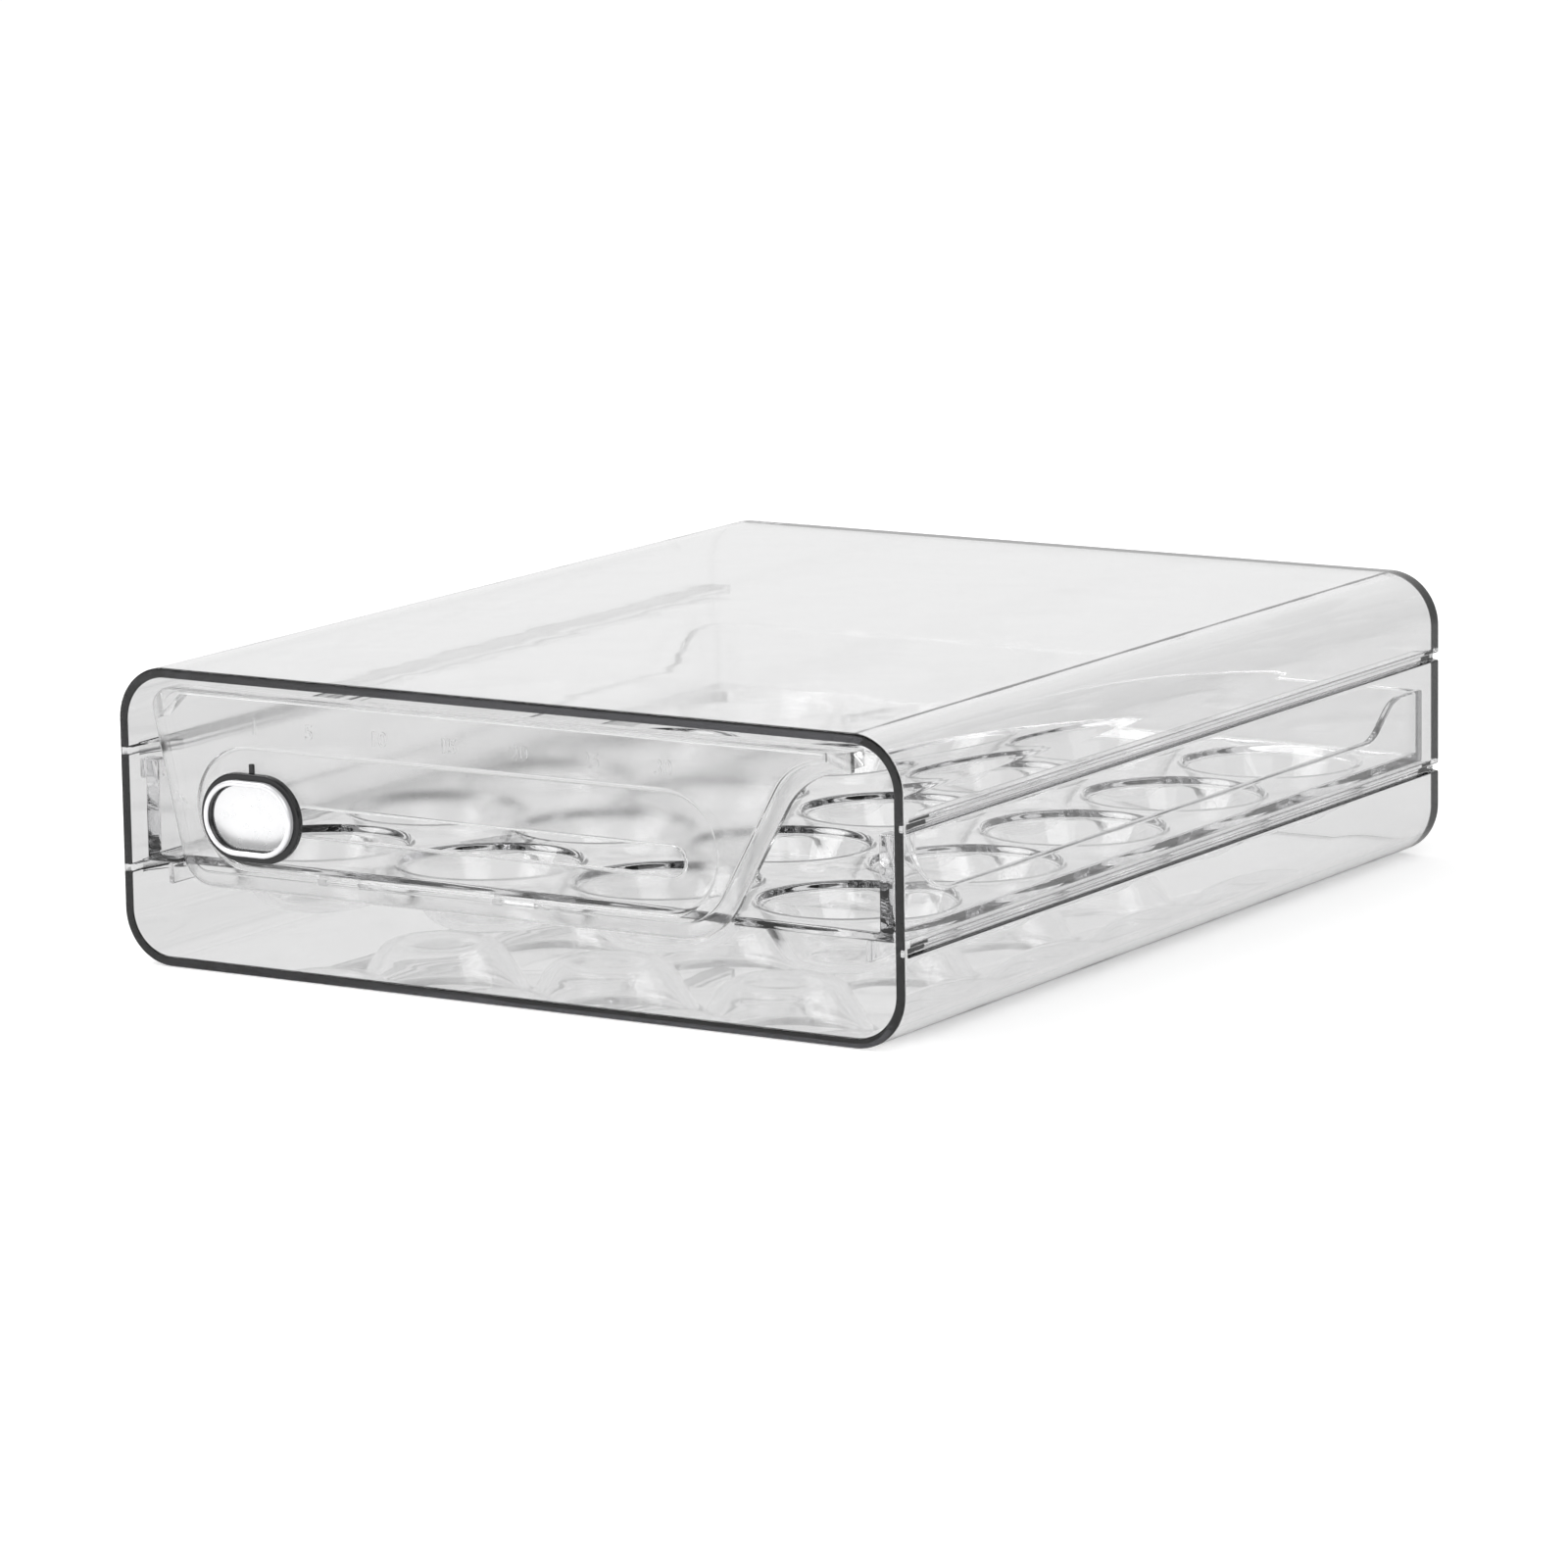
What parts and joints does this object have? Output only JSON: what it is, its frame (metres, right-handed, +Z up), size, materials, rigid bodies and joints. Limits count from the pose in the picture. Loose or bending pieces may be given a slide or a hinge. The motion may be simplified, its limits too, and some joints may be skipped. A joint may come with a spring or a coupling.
{
  "type": "egg drawer",
  "caption": "Clear plastic egg box for a refrigerator: an open-fronted case, a pull-out tray of egg cups and a front plate with a curved edge and a sliding date marker.",
  "frame": {"origin": "middle of the case's underside, on the surface it stands on", "axes": "+X right as seen from the front, +Y from the open front to the closed back, +Z up"},
  "size_m": [0.22, 0.265, 0.073],
  "materials": {
    "clear_case": "clear, polished",
    "clear_tray": "clear, polished",
    "clear_panel": "clear, polished",
    "black_plastic": "gloss",
    "bright_plating": "bright plated plastic",
    "pearl_plating": "satin plated plastic"
  },
  "bodies": {
    "case": {"case_shell": "clear_case"},
    "drawer": {"tray_frame": "clear_tray", "egg_cup_r1_c1": "clear_tray", "egg_cup_r1_c2": "clear_tray", "egg_cup_r1_c3": "clear_tray", "egg_cup_r1_c4": "clear_tray", "egg_cup_r2_c1": "clear_tray", "egg_cup_r2_c2": "clear_tray", "egg_cup_r2_c3": "clear_tray", "egg_cup_r2_c4": "clear_tray", "egg_cup_r3_c1": "clear_tray", "egg_cup_r3_c2": "clear_tray", "egg_cup_r3_c3": "clear_tray", "egg_cup_r3_c4": "clear_tray", "egg_cup_r4_c1": "clear_tray", "egg_cup_r4_c2": "clear_tray", "egg_cup_r4_c3": "clear_tray", "egg_cup_r4_c4": "clear_tray", "egg_cup_r5_c1": "clear_tray", "egg_cup_r5_c2": "clear_tray", "egg_cup_r5_c3": "clear_tray", "egg_cup_r5_c4": "clear_tray", "front_panel": "clear_panel"},
    "marker": {"marker_base": "black_plastic", "marker_bezel": "bright_plating", "marker_face": "pearl_plating", "marker_retainer": "black_plastic"}
  },
  "joints": [
    {"name": "drawer_slide", "type": "slide", "parent": "case", "child": "drawer", "axis": [0, -1, 0], "range_m": [0, 0.2]},
    {"name": "marker_slide", "type": "slide", "parent": "drawer", "child": "marker", "axis": [1, 0, 0], "range_m": [0, 0.116]}
  ]
}
